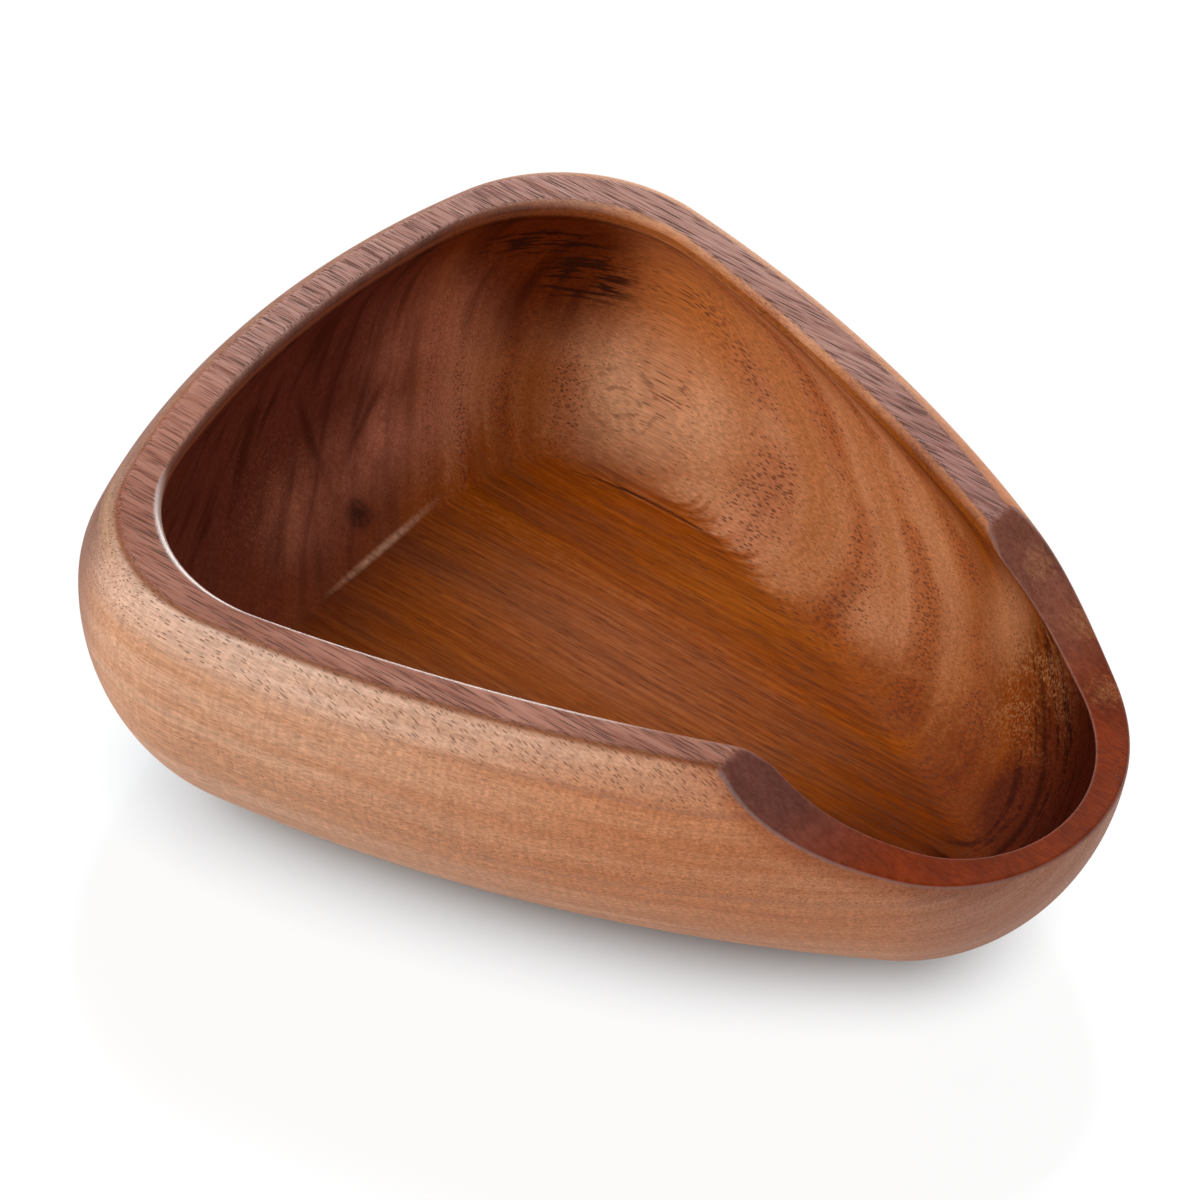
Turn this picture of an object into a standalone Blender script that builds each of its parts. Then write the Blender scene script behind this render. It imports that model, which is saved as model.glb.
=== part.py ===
"""Coffee dosing tray: a shallow bowl carved from one block of hardwood.

Seen from above it is a rounded triangle. The narrow end is the nose, where a scoop is cut
across the wall to pour over. Metres, +Z up, +X towards the nose. The origin is on the base,
midway along the overall length and width.
"""
import math

import bmesh
import bpy
from mathutils import Vector

MM = 0.001

# Overall size, measured at the widest part of the wall
LENGTH = 140 * MM
WIDTH = 115 * MM
HEIGHT = 45 * MM

# Plan of the rim's outer edge: arcs that run into each other on both sides of the long axis
NOSE_RADIUS = 24 * MM
SIDE_RADIUS = 212 * MM
CORNER_RADIUS = 22.5 * MM
BACK_RADIUS = 116 * MM

# Outer wall, from the rim's rounded edge out to the bulge and under to the flat base
RIM_EDGE_RADIUS = 1.5 * MM
SHOULDER_TILT = math.radians(46)
BULGE = 5.3 * MM
BULGE_DROP = 11 * MM
BASE_INSET = 24.5 * MM
BASE_TILT = math.radians(71)

# Plan of the lip: how far inside the rim's outer edge it lies, and how its arcs differ
RIM_WIDTH_NOSE = 1.3 * MM
RIM_WIDTH_SIDE = 4.9 * MM
RIM_WIDTH_BACK = 4.6 * MM
LIP_NOSE_TIGHTER = 5 * MM
LIP_SIDE_FLATTER = 83 * MM
LIP_CORNER_ROUNDER = 1.2 * MM
LIP_BACK_FLATTER = 14 * MM

# Upright lip with a bevelled top edge, and the undercut that hollows the wall out behind it
LIP_BEVEL = 1 * MM
LIP_HEIGHT = 2.5 * MM
UNDERCUT_DEPTH = 2.8 * MM
UNDERCUT_HEIGHT = 7 * MM

# Flat floor: how far inside the lip it starts, and how its arcs differ from the lip's
FLOOR_THICKNESS = 8 * MM
FLOOR_INSET_NOSE = 14 * MM
FLOOR_INSET_SIDE = 8 * MM
FLOOR_INSET_BACK = 11 * MM
FLOOR_NOSE_TIGHTER = 6 * MM
FLOOR_CORNER_TIGHTER = 6.5 * MM
WALL_FOOT_TILT = math.radians(50)

# Scoop, cut straight across the nose: rounded shoulder, hollow slope, then level
SCOOP_REACH = 37 * MM
SCOOP_DEPTH = 14 * MM
SCOOP_RADIUS = 60 * MM
SCOOP_SHOULDER_RADIUS = 4 * MM
SCOOP_ENTRY_TILT = math.radians(10)

# How far a cutter runs past what it cuts
OVERRUN = 2 * MM

# The most that the outer wall may draw in under the rim, as a share of the plan's tightest arc
DRAW_IN_SHARE = 0.9

# Where the wall starts to ease into the floor and where it ends, as shares of its draw-in
EASE_START_SHARE = 0.85
EASE_END_SHARE = 1.15

# Facets along each arc
NOSE_STEPS = 12
SIDE_STEPS = 9
CORNER_STEPS = 14
BACK_STEPS = 5
EDGE_STEPS = 3
SHOULDER_STEPS = 5
BELLY_STEPS = 10
UNDERCUT_STEPS = 5
HOLLOW_STEPS = 9
EASE_STEPS = 4
SCOOP_STEPS = 16
WELD_DISTANCE = 0.001 * MM
SHARP_ANGLE = math.radians(35)

WOOD_COLOUR = (0.29, 0.115, 0.055, 1.0)
WOOD_ROUGHNESS = 0.42


def clear_scene():
    for obj in list(bpy.data.objects):
        bpy.data.objects.remove(obj, do_unlink=True)


def new_collection(name):
    collection = bpy.data.collections.new(name)
    bpy.context.scene.collection.children.link(collection)
    return collection


def wood_material():
    """Oiled hardwood in its overall colour."""
    material = bpy.data.materials.new("oiled_hardwood")
    material.use_nodes = True
    shader = material.node_tree.nodes["Principled BSDF"]
    shader.inputs["Base Color"].default_value = WOOD_COLOUR
    shader.inputs["Roughness"].default_value = WOOD_ROUGHNESS
    shader.inputs["Metallic"].default_value = 0.0
    return material


def heading_angle(start, end):
    return math.atan2(end.y - start.y, end.x - start.x)


def rounded_triangle(front, back, half_width, nose_radius, side_radius, corner_radius, back_radius):
    """A closed plan of tangent arcs, as pairs of a point and its outward direction."""
    nose = Vector((front - nose_radius, 0))
    spine = Vector((back + back_radius, 0))
    corner_y = half_width - corner_radius
    corner_x = spine.x - math.sqrt((back_radius - corner_radius) ** 2 - corner_y ** 2)
    corner = Vector((corner_x, corner_y))

    # The side arc touches the nose and corner arcs from outside, so its centre lies across
    # the long axis, at a known distance from each of their centres
    to_nose = side_radius - nose_radius
    to_corner = side_radius - corner_radius
    between = corner - nose
    along = (to_nose ** 2 - to_corner ** 2 + between.length_squared) / (2 * between.length)
    across = math.sqrt(to_nose ** 2 - along ** 2)
    unit = between.normalized()
    side = nose + unit * along + Vector((-unit.y, unit.x)) * across

    nose_end = heading_angle(side, nose)
    side_end = heading_angle(side, corner)
    corner_end = heading_angle(spine, corner)
    arcs = (
        (nose, nose_radius, 0, nose_end, NOSE_STEPS),
        (side, side_radius, nose_end, side_end, SIDE_STEPS),
        (corner, corner_radius, side_end, corner_end, CORNER_STEPS),
        (spine, back_radius, corner_end, math.pi, BACK_STEPS),
    )
    half = []
    for centre, radius, start, end, steps in arcs:
        for step in range(steps):
            angle = start + (end - start) * step / steps
            outward = Vector((math.cos(angle), math.sin(angle)))
            half.append((centre + outward * radius, outward))
    mirrored = [(Vector((p.x, -p.y)), Vector((n.x, -n.y))) for p, n in reversed(half[1:])]
    return half + [(Vector((back, 0)), Vector((-1, 0)))] + mirrored


def rim_plan():
    """Outer edge of the flat rim."""
    return rounded_triangle(
        LENGTH / 2 - BULGE,
        BULGE - LENGTH / 2,
        WIDTH / 2 - BULGE,
        NOSE_RADIUS,
        SIDE_RADIUS,
        CORNER_RADIUS,
        BACK_RADIUS,
    )


def lip_plan():
    """Inner edge of the rim, at the foot of its bevel."""
    return rounded_triangle(
        LENGTH / 2 - BULGE - RIM_WIDTH_NOSE,
        BULGE - LENGTH / 2 + RIM_WIDTH_BACK,
        WIDTH / 2 - BULGE - RIM_WIDTH_SIDE,
        NOSE_RADIUS - LIP_NOSE_TIGHTER,
        SIDE_RADIUS + LIP_SIDE_FLATTER,
        CORNER_RADIUS + LIP_CORNER_ROUNDER,
        BACK_RADIUS + LIP_BACK_FLATTER,
    )


def floor_plan():
    """Where the hollow's wall would meet the flat floor without its easing."""
    return rounded_triangle(
        LENGTH / 2 - BULGE - RIM_WIDTH_NOSE - FLOOR_INSET_NOSE,
        BULGE - LENGTH / 2 + RIM_WIDTH_BACK + FLOOR_INSET_BACK,
        WIDTH / 2 - BULGE - RIM_WIDTH_SIDE - FLOOR_INSET_SIDE,
        NOSE_RADIUS - LIP_NOSE_TIGHTER - FLOOR_NOSE_TIGHTER,
        SIDE_RADIUS + LIP_SIDE_FLATTER,
        CORNER_RADIUS + LIP_CORNER_ROUNDER - FLOOR_CORNER_TIGHTER,
        BACK_RADIUS + LIP_BACK_FLATTER,
    )


def turned(start, end, steps):
    """Angles after start, up to and including end."""
    return [start + (end - start) * step / steps for step in range(1, steps + 1)]


def ring(plan, out, height):
    """The plan moved outwards and set at a height."""
    return [Vector((p.x + n.x * out, p.y + n.y * out, height)) for p, n in plan]


def wall_rings():
    """Sections of the outside from the rim down to the base."""
    plan = rim_plan()
    rings = [ring(plan, 0, HEIGHT)]
    for angle in turned(0, SHOULDER_TILT, EDGE_STEPS):
        edge_out = RIM_EDGE_RADIUS * math.sin(angle)
        edge_height = HEIGHT - RIM_EDGE_RADIUS * (1 - math.cos(angle))
        rings.append(ring(plan, edge_out, edge_height))

    bulge_height = HEIGHT - BULGE_DROP
    upper_turn = math.pi / 2 - SHOULDER_TILT
    for angle in turned(upper_turn, 0, SHOULDER_STEPS):
        fall_back = (1 - math.cos(angle)) / (1 - math.cos(upper_turn))
        rise = math.sin(angle) / math.sin(upper_turn)
        out = BULGE - (BULGE - edge_out) * fall_back
        rings.append(ring(plan, out, bulge_height + (edge_height - bulge_height) * rise))

    inset = min(BASE_INSET, BULGE + DRAW_IN_SHARE * min(NOSE_RADIUS, CORNER_RADIUS))
    for angle in turned(0, BASE_TILT, BELLY_STEPS):
        draw_in = (1 - math.cos(angle)) / (1 - math.cos(BASE_TILT))
        fall = math.sin(angle) / math.sin(BASE_TILT)
        rings.append(ring(plan, BULGE - inset * draw_in, bulge_height * (1 - fall)))
    return rings


def between_rings(start, end, share, height):
    """A section part of the way from one ring to another, set at a height."""
    places = [a.lerp(b, share) for a, b in zip(start, end)]
    return [Vector((place.x, place.y, height)) for place in places]


def hollow_rings():
    """Sections of the hollow from above the rim down to the floor."""
    lip = lip_plan()
    lip_foot = HEIGHT - LIP_BEVEL - LIP_HEIGHT
    rings = [
        ring(lip, LIP_BEVEL + OVERRUN, HEIGHT + OVERRUN),
        ring(lip, 0, HEIGHT - LIP_BEVEL),
        ring(lip, 0, lip_foot),
    ]
    # The undercut leaves the lip at its steepest and ends upright, where the hollow is widest
    for angle in turned(0, math.pi / 2, UNDERCUT_STEPS):
        drop = UNDERCUT_HEIGHT * angle / (math.pi / 2)
        rings.append(ring(lip, UNDERCUT_DEPTH * math.sin(angle), lip_foot - drop))

    # From there one long curve runs down and in to the floor's own plan
    widest = rings[-1]
    floor = ring(floor_plan(), 0, FLOOR_THICKNESS)
    wall_height = widest[0].z - FLOOR_THICKNESS
    ease_tilt = math.acos(1 - EASE_START_SHARE * (1 - math.cos(WALL_FOOT_TILT)))
    for angle in turned(0, ease_tilt, HOLLOW_STEPS):
        draw_in = (1 - math.cos(angle)) / (1 - math.cos(WALL_FOOT_TILT))
        fall = math.sin(angle) / math.sin(WALL_FOOT_TILT)
        rings.append(between_rings(widest, floor, draw_in, widest[0].z - wall_height * fall))

    # A small easing takes the crease out of the foot of the wall
    ease_height = rings[-1][0].z - FLOOR_THICKNESS
    for share in turned(0, 1, EASE_STEPS):
        leave = (1 - share) ** 2
        turn = 2 * share * (1 - share)
        arrive = share ** 2
        draw_in = EASE_START_SHARE * leave + turn + EASE_END_SHARE * arrive
        height = FLOOR_THICKNESS + ease_height * leave
        rings.append(between_rings(widest, floor, draw_in, height))
    return rings


def lofted_solid(name, rings, collection):
    """A closed solid skinned over a stack of rings with as many points each."""
    shape = bmesh.new()
    loops = [[shape.verts.new(place) for place in places] for places in rings]
    count = len(loops[0])
    for upper, lower in zip(loops, loops[1:]):
        for index in range(count):
            after = (index + 1) % count
            shape.faces.new((upper[index], lower[index], lower[after], upper[after]))
    shape.faces.new(loops[0])
    shape.faces.new(reversed(loops[-1]))
    bmesh.ops.recalc_face_normals(shape, faces=shape.faces)
    return mesh_object(name, shape, collection)


def mesh_object(name, shape, collection):
    """An object from a finished bmesh, smooth but for its real edges."""
    mesh = bpy.data.meshes.new(name)
    shape.to_mesh(mesh)
    shape.free()
    mesh.shade_smooth()
    mesh.set_sharp_from_angle(angle=SHARP_ANGLE)
    solid = bpy.data.objects.new(name, mesh)
    collection.objects.link(solid)
    return solid


def scoop_outline():
    """Side view of what the scoop takes away, as pairs along +X and +Z."""
    start = LENGTH / 2 - SCOOP_REACH
    floor = HEIGHT - SCOOP_DEPTH
    top = HEIGHT + OVERRUN
    hub_x = start - SCOOP_SHOULDER_RADIUS * math.sin(SCOOP_ENTRY_TILT)
    hub_z = HEIGHT - SCOOP_SHOULDER_RADIUS * math.cos(SCOOP_ENTRY_TILT)

    # The rounded shoulder and the hollow slope meet at this tilt
    steepest = math.acos((floor + SCOOP_RADIUS - hub_z) / (SCOOP_SHOULDER_RADIUS + SCOOP_RADIUS))
    outline = [(start - OVERRUN / math.tan(SCOOP_ENTRY_TILT), top), (start, HEIGHT)]
    for angle in turned(SCOOP_ENTRY_TILT, steepest, EDGE_STEPS):
        outline.append((hub_x + SCOOP_SHOULDER_RADIUS * math.sin(angle),
                        hub_z + SCOOP_SHOULDER_RADIUS * math.cos(angle)))

    lowest_x = outline[-1][0] + SCOOP_RADIUS * math.sin(steepest)
    for angle in turned(steepest, 0, SCOOP_STEPS):
        outline.append((lowest_x - SCOOP_RADIUS * math.sin(angle),
                        floor + SCOOP_RADIUS * (1 - math.cos(angle))))
    far = max(LENGTH / 2, lowest_x) + OVERRUN
    return outline + [(far, floor), (far, top)]


def scoop_cutter(collection):
    """The scoop's side view, drawn as a filled curve and run across the whole width."""
    curve = bpy.data.curves.new("scoop_outline", "CURVE")
    curve.dimensions = "2D"
    curve.fill_mode = "BOTH"
    curve.extrude = WIDTH / 2 + OVERRUN
    outline = scoop_outline()
    spline = curve.splines.new("POLY")
    spline.points.add(len(outline) - 1)
    for point, (x, z) in zip(spline.points, outline):
        point.co = (x, z, 0, 1)
    spline.use_cyclic_u = True
    drawn = bpy.data.objects.new("scoop_outline", curve)
    drawn.rotation_euler.x = math.pi / 2
    collection.objects.link(drawn)

    bpy.context.view_layer.update()
    evaluated = drawn.evaluated_get(bpy.context.evaluated_depsgraph_get())
    shape = bmesh.new()
    shape.from_mesh(bpy.data.meshes.new_from_object(evaluated))
    bmesh.ops.remove_doubles(shape, verts=shape.verts, dist=WELD_DISTANCE)
    cutter = mesh_object("scoop_cutter", shape, collection)
    cutter.matrix_world = drawn.matrix_world
    bpy.data.objects.remove(drawn, do_unlink=True)
    return cutter


def cut_away(body, cutter):
    cutter.hide_render = True
    cutter.display_type = "WIRE"
    cut = body.modifiers.new(cutter.name, "BOOLEAN")
    cut.operation = "DIFFERENCE"
    cut.solver = "EXACT"
    cut.object = cutter


def tray_body(parts, cutters):
    """The whole tray: wall, rim, floor and base in one piece of wood."""
    body = lofted_solid("tray_body", wall_rings(), parts)
    body.data.materials.append(wood_material())
    cut_away(body, lofted_solid("hollow_cutter", hollow_rings(), cutters))
    cut_away(body, scoop_cutter(cutters))


clear_scene()
tray_body(new_collection("coffee_dosing_tray"), new_collection("cutters"))
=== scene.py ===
import math

import bpy
import numpy as np
from mathutils import Matrix, Vector


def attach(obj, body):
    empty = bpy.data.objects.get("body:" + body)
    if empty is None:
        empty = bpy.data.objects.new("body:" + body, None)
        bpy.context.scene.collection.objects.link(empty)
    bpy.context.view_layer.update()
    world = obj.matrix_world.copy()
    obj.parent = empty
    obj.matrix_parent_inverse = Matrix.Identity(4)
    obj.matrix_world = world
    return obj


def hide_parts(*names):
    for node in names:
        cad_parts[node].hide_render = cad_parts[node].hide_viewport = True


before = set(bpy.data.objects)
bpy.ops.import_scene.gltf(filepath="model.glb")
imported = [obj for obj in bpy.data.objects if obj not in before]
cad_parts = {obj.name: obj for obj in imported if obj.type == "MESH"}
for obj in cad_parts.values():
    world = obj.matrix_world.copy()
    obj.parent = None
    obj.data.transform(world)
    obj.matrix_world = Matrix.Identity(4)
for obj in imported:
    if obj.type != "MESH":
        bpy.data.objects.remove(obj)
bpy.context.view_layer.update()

MM = 0.001


# The camera looks down at the tray from its open side, from far off with a long lens, so that
# the near and far walls keep almost the same scale. Its right side is lifted a little.
CAMERA_TURN = math.radians(34.85)
CAMERA_DROP = math.radians(42.82)
CAMERA_ROLL = math.radians(3.1)
CAMERA_DISTANCE = 1640 * MM
CAMERA_AIM_HEIGHT = 20 * MM
CAMERA_ASIDE = -6.7 * MM
CAMERA_RAISE = 8.2 * MM
CAMERA_SEES_TO = 20
SENSOR_WIDTH = 36
PHOTO_WIDTH_PIXELS = 1200
FOCAL_LENGTH_PIXELS = 12454

forward = Vector((
    -math.sin(CAMERA_TURN) * math.cos(CAMERA_DROP),
    math.cos(CAMERA_TURN) * math.cos(CAMERA_DROP),
    -math.sin(CAMERA_DROP),
))
level = forward.cross(Vector((0, 0, 1))).normalized()
right = (Matrix.Rotation(-CAMERA_ROLL, 3, forward) @ level).normalized()
upward = right.cross(forward)
camera = bpy.data.objects.new("camera", bpy.data.cameras.new("camera"))
camera.data.sensor_width = SENSOR_WIDTH
camera.data.lens = FOCAL_LENGTH_PIXELS * SENSOR_WIDTH / PHOTO_WIDTH_PIXELS
camera.data.clip_end = CAMERA_SEES_TO
aim = Vector((0, 0, CAMERA_AIM_HEIGHT)) + right * CAMERA_ASIDE + upward * CAMERA_RAISE
stand = aim - forward * CAMERA_DISTANCE
camera.matrix_world = Matrix.Translation(stand) @ Matrix((right, upward, -forward)).transposed().to_4x4()
bpy.context.scene.collection.objects.link(camera)
bpy.context.scene.camera = camera


# The tray is one block of hardwood, sawn to a rounded triangle: a tight nose at the open end, two
# long sides, two rounder corners and a gently curved back. Every section of it follows this plan.
LENGTH = 140 * MM
WIDTH = 115 * MM
HEIGHT = 45 * MM
NOSE_RADIUS = 24 * MM
SIDE_RADIUS = 212 * MM
CORNER_RADIUS = 22.5 * MM
BACK_RADIUS = 116 * MM
NOSE_COLUMNS = 40
SIDE_COLUMNS = 96
CORNER_COLUMNS = 36
BACK_COLUMNS = 24


def rounded_triangle(front, back, half_width, nose_radius, side_radius, corner_radius, back_radius):
    """Points and outward directions once round a plan of tangent arcs."""
    nose = np.array([front - nose_radius, 0])
    spine = np.array([back + back_radius, 0])
    corner_y = half_width - corner_radius
    corner = np.array([spine[0] - math.sqrt((back_radius - corner_radius) ** 2 - corner_y ** 2), corner_y])
    gap = np.linalg.norm(corner - nose)
    to_nose = side_radius - nose_radius
    to_corner = side_radius - corner_radius
    along = (to_nose ** 2 - to_corner ** 2 + gap ** 2) / (2 * gap)
    across = math.sqrt(to_nose ** 2 - along ** 2)
    unit = (corner - nose) / gap
    side = nose + unit * along + np.array([-unit[1], unit[0]]) * across
    nose_end = math.atan2(*(nose - side)[::-1])
    side_end = math.atan2(*(corner - side)[::-1])
    corner_end = math.atan2(*(corner - spine)[::-1])
    points = []
    outward = []
    for centre, radius, start, end, steps in (
        (nose, nose_radius, 0, nose_end, NOSE_COLUMNS),
        (side, side_radius, nose_end, side_end, SIDE_COLUMNS),
        (corner, corner_radius, side_end, corner_end, CORNER_COLUMNS),
        (spine, back_radius, corner_end, math.pi, BACK_COLUMNS),
    ):
        angle = start + (end - start) * np.arange(steps) / steps
        way = np.stack([np.cos(angle), np.sin(angle)], 1)
        points.append(centre + way * radius)
        outward.append(way)
    points = np.concatenate(points + [np.array([[back, 0]])])
    outward = np.concatenate(outward + [np.array([[-1, 0]])])
    mirror = np.array([1, -1])
    return (np.concatenate([points, points[-2:0:-1] * mirror]),
            np.concatenate([outward, outward[-2:0:-1] * mirror]))


def rings(plan, outward, out, height):
    """One ring of points for each distance out from the plan and height."""
    flat = plan[:, None, :] + outward[:, None, :] * out[None, :, None]
    return np.concatenate([flat, np.broadcast_to(height[None, :, None], flat.shape[:2] + (1,))], 2)


# The outside is shaped on a sanding drum to a soft bulge: it leans out from a small flat base, is
# widest well above the middle, and turns in over a short shoulder to the rim.
BULGE = 5.3 * MM
BULGE_DROP = 11 * MM
BASE_INSET = 24.5 * MM
BASE_TILT = math.radians(71)
RIM_EDGE_RADIUS = 1.5 * MM
SHOULDER_TILT = math.radians(46)
PAST_THE_RIM = 1.1
SAMPLES = 240

rim_plan, rim_outward = rounded_triangle(
    LENGTH / 2 - BULGE, BULGE - LENGTH / 2, WIDTH / 2 - BULGE,
    NOSE_RADIUS, SIDE_RADIUS, CORNER_RADIUS, BACK_RADIUS)


def outside_path():
    """The outer wall of every column, from the edge of the base up past the rim."""
    bulge_height = HEIGHT - BULGE_DROP
    angle = np.linspace(BASE_TILT, 0, SAMPLES)
    out = BULGE - BASE_INSET * (1 - np.cos(angle)) / (1 - math.cos(BASE_TILT))
    height = bulge_height * (1 - np.sin(angle) / math.sin(BASE_TILT))
    edge_out = RIM_EDGE_RADIUS * math.sin(SHOULDER_TILT)
    edge_rise = BULGE_DROP - RIM_EDGE_RADIUS * (1 - math.cos(SHOULDER_TILT))
    turn = math.pi / 2 - SHOULDER_TILT
    rise = np.linspace(0, PAST_THE_RIM * BULGE_DROP / edge_rise, SAMPLES)[1:]
    sine = rise * math.sin(turn)
    shoulder_out = BULGE - (BULGE - edge_out) * (1 - np.sqrt(1 - sine ** 2)) / (1 - math.cos(turn))
    return rings(rim_plan, rim_outward,
                 np.concatenate([out, shoulder_out]),
                 np.concatenate([height, bulge_height + edge_rise * rise]))


# The hollow is routed out of the top. An upright lip hangs under the rim, the cutter has bitten a
# little deeper below it, and the wall then sweeps in to a smaller flat floor with a soft crease.
RIM_WIDTH_NOSE = 1.3 * MM
RIM_WIDTH_SIDE = 4.9 * MM
RIM_WIDTH_BACK = 4.6 * MM
LIP_NOSE_TIGHTER = 5 * MM
LIP_SIDE_FLATTER = 83 * MM
LIP_CORNER_ROUNDER = 1.2 * MM
LIP_BACK_FLATTER = 14 * MM
LIP_DEPTH = 2.5 * MM
UNDERCUT_DEPTH = 2.8 * MM
UNDERCUT_HEIGHT = 8 * MM
ABOVE_THE_RIM = 2 * MM
FLOOR_THICKNESS = 8 * MM
FLOOR_INSET_NOSE = 14 * MM
FLOOR_INSET_SIDE = 8 * MM
FLOOR_INSET_BACK = 11 * MM
FLOOR_NOSE_TIGHTER = 6 * MM
FLOOR_CORNER_TIGHTER = 6.5 * MM
WALL_FOOT_TILT = math.radians(50)
CREASE_SHARE_BACK = 0.07
CREASE_SHARE_SIDE = 0.15
CREASE_SHARPENS_AT = -20 * MM
CREASE_CHANGE = 20 * MM

lip_front = LENGTH / 2 - BULGE - RIM_WIDTH_NOSE
lip_back = BULGE - LENGTH / 2 + RIM_WIDTH_BACK
lip_half_width = WIDTH / 2 - BULGE - RIM_WIDTH_SIDE
lip_plan, lip_outward = rounded_triangle(
    lip_front, lip_back, lip_half_width,
    NOSE_RADIUS - LIP_NOSE_TIGHTER, SIDE_RADIUS + LIP_SIDE_FLATTER,
    CORNER_RADIUS + LIP_CORNER_ROUNDER, BACK_RADIUS + LIP_BACK_FLATTER)
floor_plan, _ = rounded_triangle(
    lip_front - FLOOR_INSET_NOSE, lip_back + FLOOR_INSET_BACK, lip_half_width - FLOOR_INSET_SIDE,
    NOSE_RADIUS - LIP_NOSE_TIGHTER - FLOOR_NOSE_TIGHTER, SIDE_RADIUS + LIP_SIDE_FLATTER,
    CORNER_RADIUS + LIP_CORNER_ROUNDER - FLOOR_CORNER_TIGHTER, BACK_RADIUS + LIP_BACK_FLATTER)


def hollow_path():
    """The lip, undercut, wall and crease of every column, and the samples where lip and wall end."""
    lip_height = np.linspace(HEIGHT + ABOVE_THE_RIM, HEIGHT - LIP_DEPTH, SAMPLES)
    fall = np.linspace(0, 1, SAMPLES)[1:]
    widest_height = HEIGHT - LIP_DEPTH - UNDERCUT_HEIGHT
    out = np.concatenate([np.zeros(SAMPLES), UNDERCUT_DEPTH * np.sin(fall * math.pi / 2)])
    height = np.concatenate([lip_height, HEIGHT - LIP_DEPTH - UNDERCUT_HEIGHT * fall])
    upper = rings(lip_plan, lip_outward, out, height)
    widest = upper[:, -1, :2]
    behind = np.clip((CREASE_SHARPENS_AT - floor_plan[:, :1]) / CREASE_CHANGE, 0, 1)
    ease = CREASE_SHARE_SIDE + (CREASE_SHARE_BACK - CREASE_SHARE_SIDE) * behind
    share = np.linspace(0, 1, SAMPLES)[None, 1:]
    angle = np.arccos(1 - (1 - ease) * (1 - math.cos(WALL_FOOT_TILT))) * share
    wall_in = (1 - np.cos(angle)) / (1 - math.cos(WALL_FOOT_TILT))
    drop = np.sin(angle) / math.sin(WALL_FOOT_TILT)
    wall_height = widest_height - (widest_height - FLOOR_THICKNESS) * drop
    crease_in = (1 - ease) * (1 - share) ** 2 + 2 * share * (1 - share) + (1 + ease) * share ** 2
    crease_height = FLOOR_THICKNESS + (wall_height[:, -1:] - FLOOR_THICKNESS) * (1 - share) ** 2
    draw_in = np.concatenate([wall_in, crease_in], 1)[:, :, None]
    height = np.concatenate([wall_height, crease_height], 1)[:, :, None]
    flat = widest[:, None, :] * (1 - draw_in) + floor_plan[:, None, :] * draw_in
    lower = np.concatenate([flat, height], 2)
    return np.concatenate([upper, lower], 1), SAMPLES - 1, upper.shape[1] + SAMPLES - 2


# The scoop is sanded straight across the open end with the side of a big drum: a short rounded
# shoulder drops off the rim, and one long hollow curve runs out level through the nose.
SCOOP_REACH = 37 * MM
SCOOP_DEPTH = 14 * MM
SCOOP_RADIUS = 60 * MM
SCOOP_SHOULDER_RADIUS = 4 * MM
SCOOP_ENTRY_TILT = math.radians(10)
scoop_start = LENGTH / 2 - SCOOP_REACH


def top_height(x):
    """Height of the rim, and of the scoop where it is cut away, at a place along the tray."""
    lowest = HEIGHT - SCOOP_DEPTH
    hub_x = scoop_start - SCOOP_SHOULDER_RADIUS * math.sin(SCOOP_ENTRY_TILT)
    hub_z = HEIGHT - SCOOP_SHOULDER_RADIUS * math.cos(SCOOP_ENTRY_TILT)
    steepest = math.acos((lowest + SCOOP_RADIUS - hub_z) / (SCOOP_SHOULDER_RADIUS + SCOOP_RADIUS))
    join_x = hub_x + SCOOP_SHOULDER_RADIUS * math.sin(steepest)
    lowest_x = join_x + SCOOP_RADIUS * math.sin(steepest)
    shoulder = hub_z + np.sqrt(np.maximum(SCOOP_SHOULDER_RADIUS ** 2 - (x - hub_x) ** 2, 0))
    short_of_lowest = np.clip(lowest_x - x, 0, SCOOP_RADIUS)
    slope = lowest + SCOOP_RADIUS - np.sqrt(SCOOP_RADIUS ** 2 - short_of_lowest ** 2)
    return np.where(x < scoop_start, HEIGHT, np.where(x < join_x, shoulder, slope))


# All edges are broken by hand with fine paper: most along the rim, and least where the scoop has
# cut them fresh. The skin of the tray runs in columns from the base over the edges to the floor.
RIM_OUTER_EASE = 1.5 * MM
RIM_INNER_EASE = 1.5 * MM
SCOOP_OUTER_EASE = 0.7 * MM
SCOOP_INNER_EASE = 0.4 * MM
EASE_CHANGE = 6 * MM
LEAST_LIP = 1.6
OUTSIDE_ROWS = 44
EDGE_ROWS = 6
RIM_ROWS = 12
LIP_ROWS = 5
WALL_ROWS = 36
CREASE_ROWS = 8
FILL_ROWS = 8


def travelled(path):
    """Distance along one column's path."""
    step = np.linalg.norm(np.diff(path, axis=0), axis=1)
    return np.concatenate([[0], np.cumsum(step)])


def walk(path, distance):
    """Points at given distances along one column's path."""
    so_far = travelled(path)
    return np.stack([np.interp(distance, so_far, path[:, axis]) for axis in range(3)], 1)


def bend(before, corner, after):
    """The rows of an eased edge, pulled towards the corner between its two ends."""
    share = (np.arange(EDGE_ROWS) + 1)[:, None] / (EDGE_ROWS + 1)
    return before * (1 - share) ** 2 + corner * 2 * share * (1 - share) + after * share ** 2


def crossing(path):
    """Where one column's path meets the rim or scoop: its last sample before, and the point."""
    over = path[:, 2] - top_height(path[:, 0])
    index = int(np.argmax(np.sign(over) != np.sign(over[0])))
    share = over[index - 1] / (over[index - 1] - over[index])
    return index - 1, path[index - 1] + (path[index] - path[index - 1]) * share


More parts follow.
